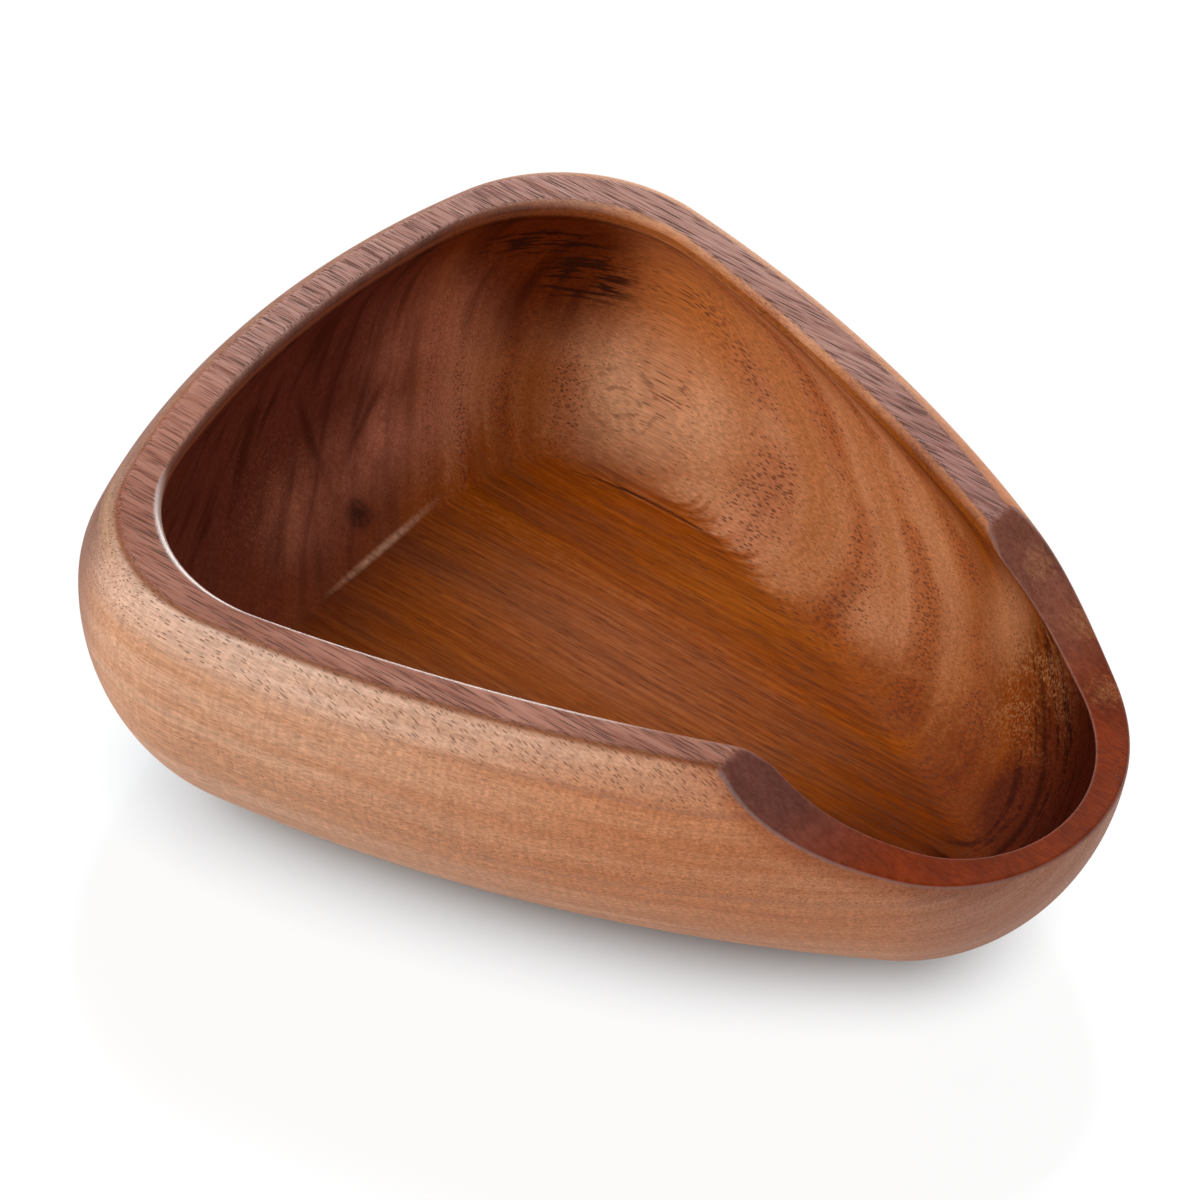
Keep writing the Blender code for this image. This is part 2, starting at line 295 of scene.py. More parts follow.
def one_column(outer_path, inner_path, lip_end, wall_end):
    """The rows of one column, and how far each lies below the top along the skin."""
    outer_last, outer = crossing(outer_path)
    inner_last, inner = crossing(inner_path)
    outer_path = np.concatenate([outer_path[:outer_last + 1], [outer]])
    below = np.concatenate([[inner], inner_path[inner_last + 1:]])
    in_scoop = np.clip((outer[0] - scoop_start) / EASE_CHANGE, 0, 1)
    outer_ease = RIM_OUTER_EASE + (SCOOP_OUTER_EASE - RIM_OUTER_EASE) * in_scoop
    inner_ease = RIM_INNER_EASE + (SCOOP_INNER_EASE - RIM_INNER_EASE) * in_scoop

    share = np.linspace(0, 1, SAMPLES)[:, None]
    flat = outer[:2] * (1 - share) + inner[:2] * share
    top_path = np.column_stack([flat, top_height(flat[:, 0])])
    top_length = travelled(top_path)[-1]
    outer_length = travelled(outer_path)[-1]
    below_length = travelled(below)
    lip_length = max(below_length[max(lip_end - inner_last, 1)], LEAST_LIP * inner_ease)
    wall_length = below_length[wall_end - inner_last]

    outside_at = np.linspace(0, outer_length - outer_ease, OUTSIDE_ROWS)
    lip_at = np.linspace(inner_ease, lip_length, LIP_ROWS + 1)[:-1]
    wall_at = np.linspace(lip_length, wall_length, WALL_ROWS + 1)[:-1]
    crease_at = np.linspace(wall_length, below_length[-1], CREASE_ROWS)
    inside_at = np.concatenate([lip_at, wall_at, crease_at])
    outside = walk(outer_path, outside_at)
    top = walk(top_path, np.linspace(outer_ease, top_length - inner_ease, RIM_ROWS))
    inside = walk(below, inside_at)
    rows = [outside, bend(outside[-1], outer, top[0]), top, bend(top[-1], inner, inside[0]), inside]
    depth = [outer_length - outside_at, np.zeros(EDGE_ROWS + RIM_ROWS + EDGE_ROWS), inside_at]
    return np.concatenate(rows), np.concatenate(depth)


def filled_towards_middle(ring):
    """Rings that shrink from one ring towards its middle, and the middle itself."""
    middle = ring.mean(0)
    shares = 1 - (np.arange(FILL_ROWS) + 1) / (FILL_ROWS + 1)
    return middle + (ring - middle)[:, None, :] * shares[None, :, None], middle


hollow, lip_end, wall_end = hollow_path()
made = [one_column(outer, inner, lip_end, wall_end) for outer, inner in zip(outside_path(), hollow)]
columns = np.array([rows for rows, depth in made])
depths = np.array([depth for rows, depth in made])
base_fill, base_middle = filled_towards_middle(columns[:, 0])
floor_fill, floor_middle = filled_towards_middle(columns[:, -1])
skin = np.concatenate([base_fill[:, ::-1], columns, floor_fill], 1)
around, down = skin.shape[:2]
places = np.concatenate([skin.reshape(-1, 3), [base_middle, floor_middle]])
number = np.arange(around * down).reshape(around, down)
beside = np.roll(number, -1, 0)
quads = np.stack([number[:, :-1], beside[:, :-1], beside[:, 1:], number[:, 1:]], 2).reshape(-1, 4)
base_fan = [(int(a), around * down, int(b)) for a, b in zip(number[:, 0], beside[:, 0])]
floor_fan = [(int(a), int(b), around * down + 1) for a, b in zip(number[:, -1], beside[:, -1])]
mesh = bpy.data.meshes.new("carved_tray")
mesh.from_pydata(places.tolist(), [], quads.tolist() + base_fan + floor_fan)
mesh.shade_smooth()

# What each row is: 1 on the rim and scoop, 1 inside the hollow, 1 on its floor, and mm below the top
easing = (np.arange(EDGE_ROWS) + 1) / (EDGE_ROWS + 1)
inside_rows = LIP_ROWS + WALL_ROWS + CREASE_ROWS
on_rim = np.concatenate([
    np.zeros(FILL_ROWS + OUTSIDE_ROWS), easing, np.ones(RIM_ROWS), 1 - easing,
    np.zeros(inside_rows + FILL_ROWS)])
in_hollow = np.concatenate([
    np.zeros(FILL_ROWS + OUTSIDE_ROWS + EDGE_ROWS + RIM_ROWS), easing, np.ones(inside_rows + FILL_ROWS)])
on_floor = np.concatenate([
    np.zeros(down - CREASE_ROWS - FILL_ROWS), np.linspace(0, 1, CREASE_ROWS), np.ones(FILL_ROWS)])
deepest = np.full((around, FILL_ROWS), depths.max())
below_top = np.concatenate([deepest, depths, deepest], 1) / MM
for name, by_row, base_value, floor_value in (
    ("rim", on_rim, 0, 0),
    ("hollow", in_hollow, 0, 1),
    ("floor", on_floor, 0, 1),
    ("below_top", below_top, depths.max() / MM, depths.max() / MM),
):
    values = np.broadcast_to(by_row, (around, down)).reshape(-1)
    layer = mesh.attributes.new(name, "FLOAT", "POINT")
    layer.data.foreach_set("value", np.concatenate([values, [base_value, floor_value]]))


# The wood: straight-grained along the tray, its rings centred on a pith above the left side, so
# that the rings lie flat in the front wall, slant through the back and stand up in the right wall.

# All sizes here are in mm. A place is a centre and a reach along, across and up, a patch is a place
# and its strength, and a span or a pair of shares is where a change starts and where it ends.
PITH_Y = -45
PITH_Z = 72
DRIFT_SIZE = (60, 26, 26)
RING_DRIFT = 5
RING_ARC = 60
LAYER_SIZE = (110, 3.2, 45)
LINE_SIZE = (40, 0.45, 8)
FIBRE_SIZE = (6, 0.24, 0.24)
RIPPLE_SIZE = (0.5, 4, 4)
PATCH_SIZE = (12, 7, 7)
FLECK_SIZE = (0.35, 0.3, 0.6)
MOTTLE_SIZE = (1.4, 0.7, 0.7)
CLOUD_ROUGHNESS = 0.55
FIGURE_SHARES = (0.3, 0.7)
SCOOP_SPAN = (33, 34.2)
BACK_RIM_SPAN = (-62, -48)
TOP_SHARES = (0.6, 0.9)
INNER_EDGE_SHARES = (0.03, 0.2)
NEAR_SIDE_SPAN = (-22, -4)
END_GRAIN_SHARES = (0.3, 0.85)


class Shade:
    """One socket of a shader. Sums on it add Math nodes, and node() adds any other node."""

    def __init__(self, socket):
        self.socket = socket

    def node(self, kind, settings, sockets, output=0):
        tree = self.socket.id_data
        added = tree.nodes.new(kind)
        for name, value in settings.items():
            setattr(added, name, value)
        for name, value in sockets.items():
            if isinstance(value, Shade):
                tree.links.new(value.socket, added.inputs[name])
            else:
                added.inputs[name].default_value = value
        return Shade(added.outputs[output])

    def sum(self, operation, first, second):
        return self.node("ShaderNodeMath", {"operation": operation}, {0: first, 1: second})

    def __add__(self, other):
        return self.sum("ADD", self, other)

    def __sub__(self, other):
        return self.sum("SUBTRACT", self, other)

    def __rsub__(self, other):
        return self.sum("SUBTRACT", other, self)

    def __mul__(self, other):
        return self.sum("MULTIPLY", self, other)

    def __truediv__(self, other):
        return self.sum("DIVIDE", self, other)

    def __pow__(self, other):
        return self.sum("POWER", self, other)

    __radd__ = __add__
    __rmul__ = __mul__


wood = bpy.data.materials.new("oiled_hardwood")
wood.use_nodes = True
shader = wood.node_tree.nodes["Principled BSDF"]
start = Shade(shader.outputs[0])


def mask(value, low, high):
    """0 below the low value and 1 above the high one, with a soft step between."""
    return start.node("ShaderNodeMapRange", {"interpolation_type": "SMOOTHSTEP"},
                      {"Value": value, "From Min": low, "From Max": high})


def band(value, low, high, soft):
    """1 between two values and 0 outside them, with soft edges."""
    return mask(value, low - soft, low + soft) * (1 - mask(value, high - soft, high + soft))


def most(first, second):
    """The larger of two values."""
    return start.sum("MAXIMUM", first, second)


def measured(name):
    """One of the measures kept on the mesh."""
    return start.node("ShaderNodeAttribute", {"attribute_name": name}, {}, "Fac")


def part_of(place, axis):
    """One of a place's three measures: 0 is along, 1 across and 2 up."""
    return start.node("ShaderNodeSeparateXYZ", {}, {0: place}, axis)


def place_of(along, across, up):
    """A place put together from its three measures."""
    return start.node("ShaderNodeCombineXYZ", {}, {0: along, 1: across, 2: up})


def stretched(place, size):
    """A place measured in units of the given size."""
    return start.node("ShaderNodeVectorMath", {"operation": "DIVIDE"}, {0: place, 1: size})


def cloud(place, size, detail=2):
    """Soft noise, 0 to 1, with lumps of the given size."""
    return start.node("ShaderNodeTexNoise", {}, {
        "Vector": stretched(place, size), "Scale": 1, "Detail": detail, "Roughness": CLOUD_ROUGHNESS})


def figure(place, size, detail=2):
    """The same noise with its middle tones drawn apart."""
    return mask(cloud(place, size, detail), *FIGURE_SHARES)


def distance(centre, reach, place=None):
    """How far a place lies from a centre, as a share of the reach along each axis."""
    away = start.node("ShaderNodeVectorMath", {"operation": "SUBTRACT"}, {0: place or at, 1: centre})
    return start.node("ShaderNodeVectorMath", {"operation": "LENGTH"}, {0: stretched(away, reach)}, "Value")


def near(centre, reach, place=None):
    """1 at a place in the tray, falling to 0 at the given reach along each axis."""
    return 1 - mask(distance(centre, reach, place), 0, 1)


def patch(centre, reach, strength):
    """A given strength at a place in the tray, falling to 0 at the reach."""
    return near(centre, reach) * strength


def blend(share, first, second):
    """One colour turning into another."""
    return start.node("ShaderNodeMix", {"data_type": "RGBA"}, {0: share, 6: first, 7: second}, 2)


def stain(share, colour, tint):
    """A colour with a tint rubbed over it."""
    return start.node("ShaderNodeMix", {"data_type": "RGBA", "blend_type": "MULTIPLY"},
                      {0: share, 6: colour, 7: tint}, 2)


def dim(colour, share):
    """A colour made darker or lighter."""
    return start.node("ShaderNodeVectorMath", {"operation": "SCALE"}, {0: colour, 3: share})


at = start.node("ShaderNodeTexCoord", {}, {}, "Object")
at = dim(at, 1 / MM)
x, y, z = [part_of(at, axis) for axis in range(3)]
rim = measured("rim")
hollow = measured("hollow")
floor = measured("floor")
below_top = measured("below_top")

drift = cloud(at, DRIFT_SIZE, 1) - 0.5
from_pith_y = y - PITH_Y
from_pith_z = z - PITH_Z
ring = (from_pith_y * from_pith_y + from_pith_z * from_pith_z) ** 0.5 + drift * RING_DRIFT
turn = start.sum("ARCTAN2", from_pith_z, from_pith_y)
grain = place_of(x, ring, turn * RING_ARC)

layers = figure(grain, LAYER_SIZE)
lines = figure(grain, LINE_SIZE, 3)
fibre = figure(at, FIBRE_SIZE, 3)
ripple = figure(at, RIPPLE_SIZE)
patches = figure(at, PATCH_SIZE, 3)
mottle = figure(at, MOTTLE_SIZE)
flecks = cloud(at, FLECK_SIZE, 1)

scoop = mask(x, *SCOOP_SPAN)
at_back = 1 - mask(x, *BACK_RIM_SPAN)
on_top = mask(rim + scoop * 0.45 + at_back * 0.2, *TOP_SHARES)
inner_edge = mask(rim * hollow, *INNER_EDGE_SHARES)
near_side = 1 - mask(y, *NEAR_SIDE_SPAN)
facing = start.node("ShaderNodeNewGeometry", {}, {}, "Normal")
end_grain = mask(start.sum("ABSOLUTE", part_of(facing, 0), 0), *END_GRAIN_SHARES)


# The outside of the block, sanded smooth: pale pinkish wood above the first ring line, tan that
# turns to orange towards the nose below it, and greyer end grain round the nose and the back.
# Painted shade darkens the left end, the near corner, the outer rim edge and the wall just under
# the scoop, and painted light lifts the foot of the wall.
PALE_TAN = (0.76, 0.52, 0.40, 1)
WALL_TAN = (0.70, 0.40, 0.255, 1)
WALL_ORANGE = (0.63, 0.26, 0.115, 1)
LOW_TAN = (0.66, 0.42, 0.29, 1)
NOSE_GREY = (0.44, 0.22, 0.15, 1)
END_BROWN = (0.34, 0.165, 0.115, 1)
EDGE_ORANGE_SHADE = (0.26, 0.07, 0.02, 1)
LINE_PURPLE = (0.28, 0.12, 0.09, 1)
GOLDEN_STREAK = (0.72, 0.46, 0.27, 1)
LEFT_END_PAINTED_SHADE = (0.80, 0.71, 0.67, 1)
NEAR_CORNER_PAINTED_SHADE = (0.76, 0.70, 0.66, 1)
WALL_LAYER_TINT = (0.86, 0.72, 0.60, 1)
WALL_LINE_TINT = (0.68, 0.55, 0.47, 1)
WALL_MOTTLE_TINT = (0.80, 0.70, 0.62, 1)
SCOOP_FOOT_PAINTED_SHADE = (0.68, 0.50, 0.40, 1)
TO_FRONT_SPAN = (-30, 45)
WALL_FOOT_SPAN = (10, 24)
FOOT_LINES_SPAN = (8, 22)
FOOT_LIGHT_SPAN = (6, 20)
PALE_RING_SPAN = (30, 35)
ENDS_SPAN = (-20, 20)
SHOULDER_SPAN = (0.6, 2.6)
BACK_SHOULDER_SPAN = (-58, -40)
FAR_END_SPAN = (-68, -50)
OUTER_EDGE_SHARES = (0.25, 0.6)
GOLDEN_PLACE = ((-56, -40, 39.5), (13, 18, 1.8))
GOLDEN_SLANT = 0.09
LEFT_END_SHADE_PATCH = ((-66, -30, 26), (10, 16, 13), 0.8)
NEAR_CORNER_SHADE_PATCH = ((-58, -44, 43), (12, 12, 8), 0.75)
SCOOP_FOOT_DEPTH = (0.5, 5)
SCOOP_FOOT_SPAN = (26, 34)
WALL_LIGHT = 1.14

along = mask(x, *TO_FRONT_SPAN)
outside = blend(along, WALL_TAN, WALL_ORANGE)
outside = blend((1 - mask(z, *WALL_FOOT_SPAN)) * 0.6, outside, LOW_TAN)
outside = blend((1 - mask(ring + mottle, *PALE_RING_SPAN)) * (1 - along * 0.6), outside, PALE_TAN)
outside = blend(end_grain, outside, blend(mask(x, *ENDS_SPAN), END_BROWN, NOSE_GREY))
shoulder = 1 - mask(below_top + mottle * 0.6, *SHOULDER_SPAN)
outside = blend(shoulder * (1 - mask(x, *BACK_SHOULDER_SPAN)) * 0.6, outside, END_BROWN)
golden_streak = near(*GOLDEN_PLACE, place_of(x, y, z + y * GOLDEN_SLANT))
outside = blend(golden_streak * 0.6, outside, GOLDEN_STREAK)
# Painted shade on the left end and the near left corner, where they turn away from the light.
outside = stain(patch(*LEFT_END_SHADE_PATCH), outside, LEFT_END_PAINTED_SHADE)
outside = stain(patch(*NEAR_CORNER_SHADE_PATCH), outside, NEAR_CORNER_PAINTED_SHADE)
outside = stain((1 - layers) * 0.7, outside, WALL_LAYER_TINT)
line_strength = 0.35 + (1 - mask(z, *FOOT_LINES_SPAN)) * 0.4
outside = stain((1 - lines) * line_strength, outside, WALL_LINE_TINT)
outside = stain((1 - mottle) * 0.35, outside, WALL_MOTTLE_TINT)
# Painted light lifts the foot of the wall, as if from the white table below, and painted shade darkens the
# far left end.
painted_foot_light = (1 - mask(z, *FOOT_LIGHT_SPAN)) * 0.07
shaded_end = 1 - mask(x, *FAR_END_SPAN)
shimmer = (ripple - 0.5) * 0.16 * (1 - end_grain)
outside = dim(outside, WALL_LIGHT + painted_foot_light - shaded_end * 0.27 + shimmer)

# Latewood lines: where each starts and ends from the pith, how soft it is, and how strong
FIRST_LATEWOOD = (33, 33.5, 0.5)
WHOLE_LATEWOOD = ((47.8, 48.6, 0.7, 0.6), (51.3, 51.8, 0.6, 0.5))
FRONT_LATEWOOD = ((31.2, 31.4, 0.25, 0.5), (35.3, 35.5, 0.3, 0.4))
latewood = band(ring, *FIRST_LATEWOOD)
for first, last, soft, strength in WHOLE_LATEWOOD:
    latewood = most(latewood, band(ring, first, last, soft) * strength)
for first, last, soft, strength in FRONT_LATEWOOD:
    latewood = most(latewood, band(ring, first, last, soft) * strength * along)
outside = blend(latewood * (0.35 + lines * 0.35) * (0.45 + along * 0.55), outside, LINE_PURPLE)
# Painted shade: the outer rim edge turns a darker orange where it rolls away from the light, most on the
# near side.
outer_edge = mask(rim, *OUTER_EDGE_SHARES) * (1 - hollow)
outside = blend(outer_edge * (0.25 + near_side * 0.6) * (1 - scoop), outside, EDGE_ORANGE_SHADE)
# Painted shade on the near wall just below the scoop's outer edge.
shade_under_scoop = (1 - mask(below_top, *SCOOP_FOOT_DEPTH)) * mask(x, *SCOOP_FOOT_SPAN) * near_side
outside = stain(shade_under_scoop * 0.75, outside, SCOOP_FOOT_PAINTED_SHADE)


# The hollow, oiled darker than the outside: amber low down, tan up the right wall, pinkish and
# dull patches on the floor, and a pale foot of the wall past a bow of dark mineral stain.
# Painted shade darkens the floor by the front wall, and the pale patch by the eye is partly a
# painted sheen.
AMBER = (0.42, 0.10, 0.004, 1)
AMBER_BROWN = (0.36, 0.095, 0.018, 1)
RIGHT_TAN = (0.74, 0.33, 0.155, 1)
RIGHT_ORANGE = (0.66, 0.24, 0.075, 1)
BACK_ORANGE = (0.64, 0.205, 0.045, 1)
FLOOR_PINK = (0.50, 0.18, 0.075, 1)
FLOOR_AMBER = (0.52, 0.16, 0.018, 1)
FLOOR_DULL = (0.36, 0.125, 0.05, 1)
EYE_PALE_AND_SHEEN = (0.98, 0.53, 0.29, 1)
TO_NOSE_TINT = (0.76, 0.64, 0.58, 1)
FRONT_FLOOR_PAINTED_SHADE = (0.62, 0.55, 0.62, 1)
CLUSTER_TINT = (0.82, 0.62, 0.55, 1)
RIGHT_WALL_TINT = (0.82, 0.80, 0.84, 1)
AMBER_SHARES = (0.3, 1.1)
PINK_PATCH = ((-12, 9, 8), (44, 18, 9), 0.7)
FLOOR_AMBER_PATCH = ((-6, 28, 8), (26, 9, 6), 0.65)
DULL_PATCH = ((-16, -13, 8), (32, 16, 9), 0.6)
BOW_MIDDLE = 24
BOW_CURVE = 0.0093
BOW_SPAN = (34.8, 39.5)
BAY_PLACE = ((-18, 38, 9), (16, 16, 9))
BAY_END_PLACE = ((0, 34, 9), (14, 12, 7))
BAY_DEPTH = 2.5
PALE_FOOT_PLACE = ((-10, 36, 9), (30, 11, 10))
PALE_FOOT_LIFT = 9
UP_WALL_SPAN = (12, 21)
RIGHT_RING_SPAN = (84, 90)
TO_NOSE_SPAN = (22, 42)
NOSE_TOP_SPAN = (22, 32)
FRONT_FLOOR_SPAN = (5, 35)
FRONT_FLOOR_ACROSS = (0, 16)
PALE_AND_SHEEN_PLACE = ((-36, 44, 17), (23, 15, 15))
PALE_AND_SHEEN_TAIL_PATCH = ((-16, 38, 9.5), (24, 8, 7), 0.45)
CLUSTER_RING = 88
CLUSTER_WIDTH = 5
CLUSTER_SHARES = (0.15, 0.5)
CLUSTER_PATCH_SHARES = (0, 0.6)
BACK_ORANGE_PATCH = ((-32, 48, 32), (23, 15, 17), 0.95)
BACK_AMBER_PATCH = ((-48, 38, 17), (9, 11, 15), 0.8)
RIGHT_TAN_PLACE = ((38, 28, 31), (9, 7, 13))
RIGHT_FOOT_PLACE = ((15, 31, 14), (12, 6, 6))
RIGHT_WALL_PATCH = ((28, 31, 23), (8, 10, 13), 0.6)

inside = blend(mask(layers + patches * 0.6, *AMBER_SHARES), AMBER_BROWN, AMBER)
inside = blend(patch(*PINK_PATCH), inside, FLOOR_PINK)
inside = blend(patch(*FLOOR_AMBER_PATCH), inside, FLOOR_AMBER)
mineral_bow = y + (x + BOW_MIDDLE) * (x + BOW_MIDDLE) * BOW_CURVE
amber_bay = near(*BAY_PLACE) * BAY_DEPTH - near(*BAY_END_PLACE) * BAY_DEPTH
past_mineral = mask(mineral_bow - amber_bay + layers * 1.5 + (lines - 0.5) * 2.5, *BOW_SPAN)
pale_foot = near(*PALE_FOOT_PLACE) * past_mineral
inside = blend(patch(*DULL_PATCH), inside, FLOOR_DULL)
wall_height = z + layers * 5 + mottle * 2 + pale_foot * PALE_FOOT_LIFT - floor
up_wall = mask(wall_height, *UP_WALL_SPAN) * mask(ring, *RIGHT_RING_SPAN)
to_nose = mask(x, *TO_NOSE_SPAN)
inside = blend(up_wall, inside, blend(layers * (1 - to_nose * 0.8), RIGHT_ORANGE, RIGHT_TAN))
inside = stain(to_nose * (1 - mask(z, *NOSE_TOP_SPAN) * 0.8), inside, TO_NOSE_TINT)
# Painted shade on the floor next to the front wall, which keeps the light off it.
front_floor_shade = mask(x, *FRONT_FLOOR_SPAN) * (1 - mask(y, *FRONT_FLOOR_ACROSS)) * (1 - up_wall)
inside = stain(front_floor_shade, inside, FRONT_FLOOR_PAINTED_SHADE)
# A pale patch by the eye: partly paler wood, partly a painted sheen.
pale = most(near(*PALE_AND_SHEEN_PLACE), patch(*PALE_AND_SHEEN_TAIL_PATCH))
inside = blend(pale * past_mineral, inside, EYE_PALE_AND_SHEEN)
to_cluster = start.sum("PINGPONG", (ring - CLUSTER_RING) / CLUSTER_WIDTH + 0.5, 0.5)
cluster = mask(to_cluster + mottle * 0.1, *CLUSTER_SHARES)
cluster = cluster * mask(patches, *CLUSTER_PATCH_SHARES) * (1 - floor)
inside = stain(cluster * 0.68, inside, CLUSTER_TINT)
inside = blend(patch(*BACK_ORANGE_PATCH), inside, BACK_ORANGE)
inside = blend(patch(*BACK_AMBER_PATCH), inside, AMBER)
inside = blend(most(near(*RIGHT_TAN_PLACE), near(*RIGHT_FOOT_PLACE)) * 0.7, inside, RIGHT_TAN)
inside = stain(patch(*RIGHT_WALL_PATCH), inside, RIGHT_WALL_TINT)


# The heartwood shows where the cutter went deepest: dark brown with darker streaks on the back
# wall, and almost black in the nose. This darkness is partly painted shade, under the lip in the
# back corner and along the nose, and the reddish sheen on the back wall is a painted sheen.
HEART = (0.19, 0.046, 0.025, 1)
HEART_BROWN = (0.23, 0.045, 0.006, 1)
NOSE_BROWN_AND_SHADE = (0.14, 0.024, 0.006, 1)
HEART_PAINTED_SHEEN = (0.66, 0.255, 0.155, 1)
HEART_MOTTLE_TINT = (0.70, 0.50, 0.42, 1)
HEART_STREAK_TINT = (0.30, 0.20, 0.19, 1)
INSIDE_LAYER_TINT = (0.50, 0.38, 0.34, 1)
INSIDE_LINE_TINT = (0.60, 0.44, 0.36, 1)
INSIDE_MOTTLE_TINT = (0.80, 0.66, 0.55, 1)
HEART_SPAN = (-60, -34)
HEART_RING_SPAN = (76, 96)
HEART_AND_SHADE_CORNER_PLACE = ((-53, 46, 36), (24, 28, 28))
HEART_CORNER_SHARES = (0, 0.75)
AMBER_CORNER_HEIGHT = (12, 22)
AMBER_CORNER_ACROSS = (20, 32)
NOSE_SPAN = (41, 54)
NOSE_RING_SPAN = (80, 87)
NOSE_FOOT_PLACE = ((52, 13, 14), (14, 12, 12))
NOSE_FOOT_SHARES = (0, 0.6)
HEART_BROWN_SPAN = (30, 54)
NOSE_TONE_SPAN = (0, 20)
PAINTED_SHEEN_PLACE = ((-58, 27, 25), (12, 18, 15))
LOW_PAINTED_SHEEN_PATCH = ((-56, 17, 16.5), (13, 26, 9), 1.2)
LEFT_PAINTED_SHEEN_PATCH = ((-57, -2, 15), (10, 14, 10), 0.8)
STREAK_SIZE = (60, 3, 14)
STREAK_SHARES = (0.3, 0.55)
HEART_LINE = (71, 71.8, 0.6)
FAINT_HEART_LINE = (77.2, 77.8, 0.6)
STREAK_SLANT = 0.54
UPRIGHT_STREAK_PLACE = ((-59, 4.2, 23), (9, 1.6, 12))
SLANTED_STREAK_PLACE = ((-58, 13.8, 12.4), (8, 10, 1.3))
STREAKS_END_SPAN = (-50, -38)

# Dark heartwood, deepened with painted shade in the back corner under the lip and along the nose.
heart_and_shade = (1 - mask(x, *HEART_SPAN)) * (1 - mask(ring, *HEART_RING_SPAN))
heart_and_shade = most(heart_and_shade, mask(near(*HEART_AND_SHADE_CORNER_PLACE), *HEART_CORNER_SHARES))
heart_and_shade = heart_and_shade * (1 - (1 - mask(z, *AMBER_CORNER_HEIGHT)) * mask(y, *AMBER_CORNER_ACROSS))
nose = mask(x, *NOSE_SPAN) * (1 - mask(ring + (mottle - 0.5) * 2, *NOSE_RING_SPAN))
nose = most(nose, mask(near(*NOSE_FOOT_PLACE), *NOSE_FOOT_SHARES))
heart_tone = blend(mask(y + z * 0.3, *HEART_BROWN_SPAN), HEART, HEART_BROWN)
heart_and_shade = most(heart_and_shade, nose)
inside = blend(heart_and_shade, inside, blend(mask(x, *NOSE_TONE_SPAN), heart_tone, NOSE_BROWN_AND_SHADE))
# Painted sheen: a reddish highlight over the back and left walls of the hollow.
sheen = most(near(*PAINTED_SHEEN_PLACE), patch(*LOW_PAINTED_SHEEN_PATCH))
sheen = most(sheen, patch(*LEFT_PAINTED_SHEEN_PATCH))
inside = blend(sheen * (0.45 + patches * 0.4), inside, HEART_PAINTED_SHEEN)
inside = stain((1 - mottle) * heart_and_shade * 0.6, inside, HEART_MOTTLE_TINT)
streaks = 1 - mask(cloud(grain, STREAK_SIZE), *STREAK_SHARES)
streaks = most(streaks, band(ring, *HEART_LINE))
streaks = most(streaks, band(ring, *FAINT_HEART_LINE) * 0.7)
slanted = place_of(x, y, z - y * STREAK_SLANT)
crossing_streaks = most(near(*UPRIGHT_STREAK_PLACE), near(*SLANTED_STREAK_PLACE, slanted))
streaks = most(streaks * 0.8, crossing_streaks) * (1 - mask(x, *STREAKS_END_SPAN))
inside = stain(streaks * heart_and_shade * (0.6 + mottle * 0.4), inside, HEART_STREAK_TINT)
inside = stain((1 - layers) * (1 - heart_and_shade) * 0.15, inside, INSIDE_LAYER_TINT)
inside = stain((1 - lines) * (0.2 + floor * 0.4), inside, INSIDE_LINE_TINT)
inside = stain((1 - mottle) * (1 - heart_and_shade) * 0.35, inside, INSIDE_MOTTLE_TINT)


# What grew in the wood, and some painted light: a pale wavy eye, dark streaks in the back corner
# that are partly painted shade under the lip, a small knot, the mineral stain, golden flecks at
# the nose, a painted highlight in the crease and painted light up the right wall.
EYE_BROWN = (0.26, 0.09, 0.05, 1)
STREAK_DARK = (0.05, 0.012, 0.006, 1)
GOLD = (0.50, 0.23, 0.09, 1)
CREASE_PAINTED_HIGHLIGHT = (0.75, 0.42, 0.27, 1)
NOSE_STREAK_TINT = (0.28, 0.17, 0.14, 1)
NOSE_END_TINT = (0.34, 0.18, 0.14, 1)
NEAR_FLOOR_TINT = (0.66, 0.54, 0.60, 1)
EYE_CENTRE = (-37.6, 43.7, 14.6)
EYE_SHAPE = (1, 1, 0.75)
EYE_ARC_PITCH = 2.2
EYE_WAVER = 4
EYE_ARC_SHARES = (0.3, 1)
EYE_SPAN = (5, 10)
EYE_BREAK_SIZE = (2.6, 2.6, 0.7)
EYE_BREAK_SHARES = (0.4, 0.6)
LEVEL_STREAK_SIZE = (5, 5, 0.6)
LEVEL_STREAK_SHARES = (0.4, 0.58)
BACK_STREAK_PLACE = ((-46, 46, 30), (12, 12, 7))
UNDER_LIP_STREAK_PLACE = ((-52, 44, 36), (18, 14, 5))
KNOT_PLACE = ((-53, 6, 11.3), (4.8, 4.2, 3.9))
MINERAL_LINE = (35.9, 36.2, 0.35)
MINERAL_PLACE = ((-27, 34.6, 8.4), (22, 12, 8))
DARK_MARK_SHARES = (0.1, 0.7)
NOSE_STREAK_SIZE = (12, 0.8, 12)
NOSE_STREAK_SHARES = (0.38, 0.56)
NOSE_LINE = (80, 80.8, 0.5)
NOSE_STREAK_SPAN = (40, 46)
NOSE_STREAK_RINGS = (82, 85)
NOSE_END_SPAN = (49, 60)
GOLDEN_FLECK_SHARES = (0.42, 0.66)
GOLDEN_PATCH_SHARES = (0.2, 1)
GOLDEN_FLECK_PLACE = ((44, 24, 27), (15, 13, 19))
SPECK_SHARES = (0.6, 0.7)
SPECK_PLACE = ((-58, -6, 20), (9, 18, 16))
NEAR_FLOOR_PATCH = ((-42, -24, 8), (20, 18, 8), 0.8)
CREASE_HIGHLIGHT_PLACE = ((-48.5, 5, 8.5), (0.9, 15, 1.5))
RIGHT_WALL_LIGHT_SPAN = (8, 44)

